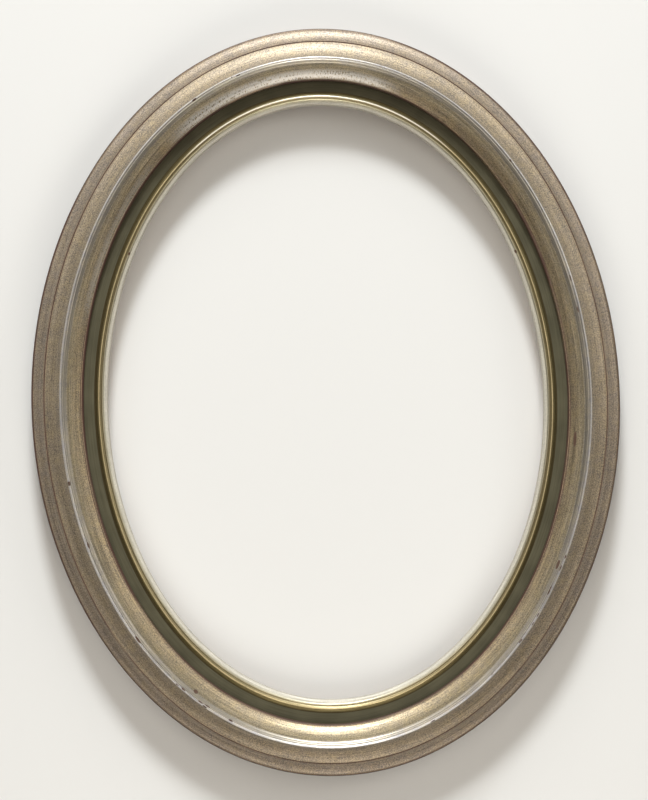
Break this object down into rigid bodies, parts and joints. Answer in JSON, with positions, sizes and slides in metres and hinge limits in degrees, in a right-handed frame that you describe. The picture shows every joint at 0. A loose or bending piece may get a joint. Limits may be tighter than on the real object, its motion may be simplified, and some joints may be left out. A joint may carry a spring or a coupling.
{
  "type": "oval picture frame",
  "caption": "Oval picture frame with a turned stepped moulding, a recessed sight liner and an open rebate held by turn buttons.",
  "frame": {"origin": "middle of the oval on the back plane", "axes": "+Z out of the front face, +Y to the top of the oval, +X to its right as seen from the front"},
  "size_m": [0.185, 0.235, 0.0178],
  "materials": {
    "moulding": "silvered leaf over red-brown bole, rubbed and speckled",
    "liner": "smooth olive paint with gilt beads",
    "key_wood": "plain beech",
    "button_brass": "brushed, dulled",
    "fitting_steel": "zinc plated"
  },
  "bodies": {
    "frame": {"rim_top": "moulding", "rim_right": "moulding", "rim_bottom": "moulding", "rim_left": "moulding", "sight_liner": "liner", "joint_key_top_right": "key_wood", "joint_key_bottom_right": "key_wood", "joint_key_bottom_left": "key_wood", "joint_key_top_left": "key_wood", "button_screw_top_right": "fitting_steel", "button_screw_bottom_right": "fitting_steel", "button_screw_bottom_left": "fitting_steel", "button_screw_top_left": "fitting_steel", "sawtooth_hanger": "fitting_steel", "hanger_nail_left": "fitting_steel", "hanger_nail_right": "fitting_steel"},
    "turn_button_top_right": {"turn_button_top_right": "button_brass"},
    "turn_button_bottom_right": {"turn_button_bottom_right": "button_brass"},
    "turn_button_bottom_left": {"turn_button_bottom_left": "button_brass"},
    "turn_button_top_left": {"turn_button_top_left": "button_brass"}
  },
  "joints": [
    {"name": "turn_top_right", "type": "hinge", "parent": "frame", "child": "turn_button_top_right", "pos_m": [0.03866, 0.09478, 0.0022], "axis": [0, 0, 1], "range_deg": [-180, 0]},
    {"name": "turn_bottom_right", "type": "hinge", "parent": "frame", "child": "turn_button_bottom_right", "pos_m": [0.03866, -0.09478, 0.0022], "axis": [0, 0, 1], "range_deg": [0, 180]},
    {"name": "turn_bottom_left", "type": "hinge", "parent": "frame", "child": "turn_button_bottom_left", "pos_m": [-0.03866, -0.09478, 0.0022], "axis": [0, 0, 1], "range_deg": [-180, 0]},
    {"name": "turn_top_left", "type": "hinge", "parent": "frame", "child": "turn_button_top_left", "pos_m": [-0.03866, 0.09478, 0.0022], "axis": [0, 0, 1], "range_deg": [0, 180]}
  ]
}
